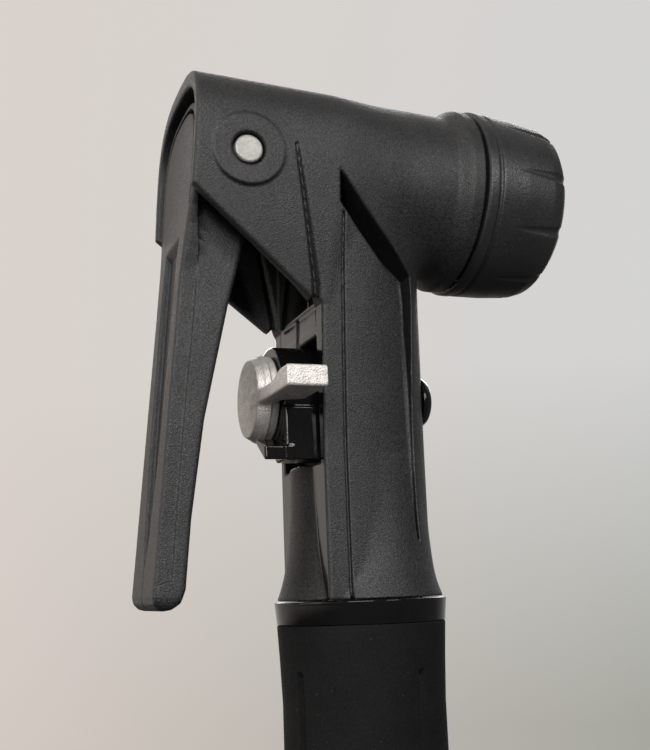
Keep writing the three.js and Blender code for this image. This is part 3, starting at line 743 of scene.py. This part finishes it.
def small_turned_pieces():
    """Every other turned piece, with the CAD node that it stands for and its finish."""
    pin = [(0, -13.1), (PIN_RADIUS, -13.1), (PIN_RADIUS, 13.1), (0, 13.1)]
    cap = [(0, 5.4), (1, 5.4), (1, 9.3), (3.7, 9.3), (3.7, 9.8), (3.1, 10.7), (1.9, 11.3), (0, 11.5)]
    grommet = tube(3.9, GROMMET_RADIUS, 18.6, THREAD_END)
    washer = tube(2.6, GROMMET_RADIUS, 17, 18.3)
    depressor = [(0, 9.3), (1.1, 9.3), (1.1, 17.4), (0.7, 18), (0, 18)]
    barrel = tube(7, 8, -159, 7.9)
    rod = [(0, 4.3 - BASE_Z), (2.9, 4.3 - BASE_Z), (2.9, -5.3), (1.5, -5.3), (1.5, -15), (0, -15)]
    return [
        (turned("pin_bar", pin, across_pin, 64, 0.35), "lever_pin", "steel"),
        (turned("cap_screw", cap, along_selector, 72, 0.3), "spindle_cap", "gloss"),
        (turned("grommet_ring", grommet, along_head, 96, 0.5), "valve_grommet", "rubber"),
        (turned("washer_ring", washer, along_head, 96, 0.15), "grommet_washer", "white"),
        (turned("depressor_bar", depressor, along_head, 40, 0.1), "valve_depressor", "brass"),
        (turned("barrel_wall", barrel, along_z, 128, 0.2), "barrel_tube", "aluminium"),
        (turned("rod_bar", rod, along_z, 64, 0.2), "piston_rod", "steel"),
    ]


# ---- materials ---------------------------------------------------------------------------
def new_node(tree, kind, **values):
    """A shader node; values name its inputs or its own settings."""
    made = tree.nodes.new("ShaderNode" + kind)
    for key, value in values.items():
        if key in made.inputs:
            made.inputs[key].default_value = value
        else:
            setattr(made, key, value)
    return made


def noise(tree, scale, detail=2.0, roughness=0.5):
    where = new_node(tree, "TexCoord")
    made = new_node(tree, "TexNoise", Scale=scale, Detail=detail, Roughness=roughness)
    tree.links.new(where.outputs["Object"], made.inputs["Vector"])
    return made.outputs["Fac"]


def pebbles(tree, scale):
    """Distance from the middle of the nearest of many small cells."""
    where = new_node(tree, "TexCoord")
    made = new_node(tree, "TexVoronoi", Scale=scale)
    tree.links.new(where.outputs["Object"], made.inputs["Vector"])
    return made.outputs["Distance"]


def ranged(tree, value, low, high, new_low, new_high):
    made = new_node(tree, "MapRange")
    ends = {"From Min": low, "From Max": high, "To Min": new_low, "To Max": new_high}
    for key, number in ends.items():
        made.inputs[key].default_value = number
    tree.links.new(value, made.inputs["Value"])
    return made.outputs["Result"]


def colours(tree, value, stops):
    made = new_node(tree, "ValToRGB")
    ramp = made.color_ramp
    ramp.elements[0].position, ramp.elements[0].color = stops[0][0], (*stops[0][1], 1)
    ramp.elements[1].position, ramp.elements[1].color = stops[-1][0], (*stops[-1][1], 1)
    for place, colour in stops[1:-1]:
        ramp.elements.new(place).color = (*colour, 1)
    tree.links.new(value, made.inputs["Fac"])
    return made.outputs["Color"]


def mixed(tree, factor, a, b, blend="MIX"):
    made = new_node(tree, "Mix", data_type="RGBA", blend_type=blend)
    sockets = {"factor": made.inputs[0], "a": made.inputs[6], "b": made.inputs[7]}
    for key, source in (("factor", factor), ("a", a), ("b", b)):
        if isinstance(source, (int, float)):
            sockets[key].default_value = source
        elif isinstance(source, tuple):
            sockets[key].default_value = (*source, 1)
        else:
            tree.links.new(source, sockets[key])
    return made.outputs[2]


def bumped(tree, height, distance, strength=1.0, below=None):
    made = new_node(tree, "Bump", Strength=strength, Distance=distance)
    tree.links.new(height, made.inputs["Height"])
    if below is not None:
        tree.links.new(below, made.inputs["Normal"])
    return made.outputs["Normal"]


def new_material(name, **shader_values):
    material = bpy.data.materials.new(name)
    material.use_nodes = True
    tree = material.node_tree
    shader = tree.nodes["Principled BSDF"]
    for key, value in shader_values.items():
        shader.inputs[key.replace("_", " ")].default_value = value
    return material, tree, shader


def plastic(name, dark, pale, rough, grain_scale, grain_depth, specular=0.5, painted_glint_contrast=0.15):
    """Moulded plastic: blotchy tone, pale cells painted in as glints off the grain, and a few specks of
    dust.
    """
    material, tree, shader = new_material(name, Specular_IOR_Level=specular)
    grain = noise(tree, grain_scale, 3, 0.6)
    blotch = colours(tree, noise(tree, 160, 4, 0.6), [(0.35, dark), (0.7, pale)])
    # painted glints: pale cells lighten the colour where the grain would catch the light, darker between
    # them
    painted_glints = ranged(tree, pebbles(tree, 0.75 * grain_scale), 0.1, 0.7, 1 + painted_glint_contrast, 1 - painted_glint_contrast)
    tone = mixed(tree, 1.0, blotch, painted_glints, "MULTIPLY")
    dust = ranged(tree, noise(tree, 2600, 1, 0.5), 0.74, 0.8, 0, 1)
    tree.links.new(mixed(tree, dust, tone, tuple(3.0 * c for c in pale)), shader.inputs["Base Color"])
    tree.links.new(ranged(tree, grain, 0.35, 0.65, rough[0], rough[1]), shader.inputs["Roughness"])
    waves = bumped(tree, noise(tree, 220, 2, 0.5), 6e-5, 0.5)
    cells = bumped(tree, pebbles(tree, grain_scale), -grain_depth, 1.0, waves)
    tree.links.new(cells, shader.inputs["Normal"])
    return material


def metal(name, dark, pale, rough, scale, depth, metallic=1.0):
    """Metal with a fine uneven surface."""
    material, tree, shader = new_material(name, Metallic=metallic)
    tone = colours(tree, noise(tree, scale * 0.25, 4, 0.6), [(0.3, dark), (0.7, pale)])
    tree.links.new(tone, shader.inputs["Base Color"])
    grain = noise(tree, scale, 3, 0.6)
    tree.links.new(ranged(tree, grain, 0.3, 0.7, rough[0], rough[1]), shader.inputs["Roughness"])
    tree.links.new(bumped(tree, pebbles(tree, scale), -depth), shader.inputs["Normal"])
    return material


def make_materials():
    """Every finish: its darkest and palest tone, then roughness, grain size and grain depth."""
    return {
        # the textured finish carries strong painted glints, set by its last number
        "textured": plastic(
            "textured_black", (0.013, 0.0135, 0.014), (0.022, 0.0225, 0.023), (0.4, 0.66),
            5600, 3.6e-5, painted_glint_contrast=0.7),
        "satin": plastic(
            "satin_black", (0.012, 0.0125, 0.013), (0.018, 0.0185, 0.019), (0.36, 0.52),
            3400, 2e-5),
        "gloss": plastic(
            "gloss_black", (0.003, 0.003, 0.0032), (0.0045, 0.0045, 0.0048), (0.08, 0.13),
            4200, 0.2e-5, specular=0.36),
        "rubber": plastic(
            "grip_rubber", (0.007, 0.007, 0.0072), (0.01, 0.01, 0.0103), (0.6, 0.75),
            4200, 2e-5, specular=0.08),
        "silver": metal(
            "cast_silver", (0.58, 0.55, 0.515), (0.8, 0.765, 0.725), (0.5, 0.66),
            4200, 6e-5, metallic=0.75),
        "steel": metal(
            "worn_steel", (0.27, 0.26, 0.24), (0.37, 0.36, 0.335), (0.4, 0.55),
            2600, 3e-5, metallic=0.5),
        "aluminium": metal(
            "anodised_tube", (0.45, 0.46, 0.48), (0.6, 0.61, 0.63), (0.3, 0.42),
            1500, 0.4e-5),
        "brass": metal(
            "brass", (0.5, 0.36, 0.14), (0.66, 0.48, 0.2), (0.28, 0.4),
            1800, 0.4e-5),
        "white": plastic(
            "white_plastic", (0.58, 0.57, 0.53), (0.68, 0.67, 0.63), (0.35, 0.5),
            1800, 0.6e-5),
    }


def install(piece, node, finish, materials):
    """Puts a piece in the place of a CAD node, on that node's body."""
    piece.data.materials.clear()
    piece.data.materials.append(materials[finish])
    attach(piece, frame["nodes"][node]["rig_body"])
    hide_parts(node)


def paint(piece, chosen, material):
    """Gives the faces that a test picks a second material."""
    piece.data.materials.append(material)
    base = Vector((0, 0, BASE_Z))
    for face in piece.data.polygons:
        if chosen(face.center / MM - base, face.normal):
            face.material_index = 1


def build_object():
    materials = make_materials()
    replaced = [
        (head_housing(), "head_housing", "textured"),
        (lock_lever(), "lock_lever", "textured"),
        (selector_body(), "selector_body", "gloss"),
        (selector_knob(), "selector_knob", "silver"),
        (nozzle_collar(), "nozzle_collar", "satin"),
        (handle_sleeve(), "handle_sleeve", "rubber"),
        (guide_ring(), "sleeve_guide_ring", "gloss"),
        (end_cap(), "handle_end_cap", "satin"),
    ] + small_turned_pieces()
    for piece, node, finish in replaced:
        install(piece, node, finish, materials)
    paint(replaced[0][0], smooth_back, materials["gloss"])
    kept = {
        "white": ["plunger", "check_valve_poppet", "barrel_gland", "piston"],
        "rubber": ["plunger_seal", "spindle_seal_rear", "spindle_seal_front", "barrel_gasket",
                   "piston_seal", "rod_bumper"],
        "brass": ["selector_spindle", "check_valve_seat"],
        "steel": ["check_valve_spring", "piston_screw"],
    }
    for finish, names in kept.items():
        for name in names:
            node = frame["nodes"][name]
            node.data.materials.clear()
            node.data.materials.append(materials[finish])


# ---- stage, light and camera -------------------------------------------------------------
def floor():
    mesh = bpy.data.meshes.new("pale_floor")
    work = bmesh.new()
    bmesh.ops.create_circle(work, cap_ends=True, cap_tris=False, segments=96, radius=0.7)
    work.to_mesh(mesh)
    work.free()
    piece = bpy.data.objects.new("pale_floor", mesh)
    bpy.context.scene.collection.objects.link(piece)
    piece.location.z = -0.0002
    piece.visible_diffuse = False
    piece.visible_glossy = False
    material, tree, shader = new_material("floor_paint", Roughness=0.9, Specular_IOR_Level=0.05)
    tone = colours(tree, noise(tree, 6, 3, 0.5), [(0.3, (0.5, 0.49, 0.47)), (0.7, (0.56, 0.55, 0.53))])
    tree.links.new(tone, shader.inputs["Base Color"])
    mesh.materials.append(material)


def world_light():
    """Pale room, warmer to the left and greyer to the right; it sheds little light from below
    and from the front, where the lamps are."""
    world = bpy.data.worlds.new("room")
    world.use_nodes = True
    bpy.context.scene.world = world
    tree = world.node_tree
    tree.nodes.clear()
    where = new_node(tree, "TexCoord")
    split = new_node(tree, "SeparateXYZ")
    tree.links.new(where.outputs["Generated"], split.inputs["Vector"])
    across = ranged(tree, split.outputs["X"], 0.02, 0.62, 0, 1)
    high = mixed(tree, across, (0.70, 0.645, 0.60), (0.655, 0.655, 0.65))
    down = ranged(tree, split.outputs["Z"], -0.12, 0.2, 1, 0)
    low = mixed(tree, across, (0.66, 0.595, 0.55), (0.36, 0.365, 0.33))
    wall = mixed(tree, down, high, low)
    under = ranged(tree, split.outputs["Z"], -0.24, -0.15, 1, 0)
    tone = mixed(tree, under, wall, (0.05, 0.05, 0.05))
    behind = new_node(tree, "VectorMath", operation="DOT_PRODUCT")
    tree.links.new(where.outputs["Generated"], behind.inputs[0])
    behind.inputs[1].default_value = (0.5, -0.866, 0)
    shade = ranged(tree, behind.outputs["Value"], -0.15, 0.35, 0, 1)
    lighting = mixed(tree, shade, tone, (0.14, 0.14, 0.142))
    seen = new_node(tree, "LightPath")
    tone = mixed(tree, seen.outputs["Is Camera Ray"], lighting, wall)
    background = new_node(tree, "Background", Strength=1.0)
    tree.links.new(tone, background.inputs["Color"])
    output = new_node(tree, "OutputWorld")
    tree.links.new(background.outputs["Background"], output.inputs["Surface"])


def soft_box(name, place, aim, size, watts, colour=(1, 1, 1)):
    light = bpy.data.lights.new(name, "AREA")
    light.shape = "RECTANGLE"
    light.size, light.size_y = size
    light.energy = watts
    light.color = colour
    lamp = bpy.data.objects.new(name, light)
    bpy.context.scene.collection.objects.link(lamp)
    lamp.location = place
    lamp.rotation_mode = "QUATERNION"
    lamp.rotation_quaternion = (Vector(aim) - Vector(place)).to_track_quat("-Z", "Y")


def lights():
    aim = (0, 0, BASE_Z * MM + 0.03)
    soft_box("key", (-0.35, -0.95, 0.58), aim, (0.6, 0.5), 9.5, (1, 0.99, 0.98))
    soft_box("front", (0.4, -0.85, 0.6), aim, (0.3, 0.3), 3.2, (1, 0.99, 0.98))
    soft_box("left", (-0.8, 0.0, 0.35), aim, (0.5, 0.6), 2.2, (1, 0.97, 0.94))
    soft_box("rear", (0.3, 0.85, 0.7), aim, (0.8, 0.6), 8)


CAMERA_PLACE = (-54.17, -140.65, 1.28)  # neck's axes
CAMERA_AZIMUTH = math.radians(19.71)
CAMERA_RISE = math.radians(11.06)
CAMERA_ROLL = math.radians(-2.14)
CAMERA_FOCAL = 1.4705  # focal length over the long side of the picture


def camera():
    data = bpy.data.cameras.new("camera")
    data.sensor_width = 36
    data.lens = CAMERA_FOCAL * data.sensor_width
    data.clip_start, data.clip_end = 0.005, 20
    lens = bpy.data.objects.new("camera", data)
    bpy.context.scene.collection.objects.link(lens)
    bpy.context.scene.camera = lens
    ahead = Vector((math.sin(CAMERA_AZIMUTH) * math.cos(CAMERA_RISE),
                    math.cos(CAMERA_AZIMUTH) * math.cos(CAMERA_RISE), math.sin(CAMERA_RISE)))
    right = Vector((math.cos(CAMERA_AZIMUTH), -math.sin(CAMERA_AZIMUTH), 0))
    up = right.cross(ahead)
    side = right * math.cos(CAMERA_ROLL) + up * math.sin(CAMERA_ROLL)
    top = up * math.cos(CAMERA_ROLL) - right * math.sin(CAMERA_ROLL)
    turn = Matrix((side, top, -ahead)).transposed().to_4x4()
    place = Vector(CAMERA_PLACE) + Vector((0, 0, BASE_Z))
    lens.matrix_world = Matrix.Translation(place * MM) @ turn


camera()
build_object()
floor()
world_light()
lights()
bpy.context.scene.view_settings.view_transform = "Standard"
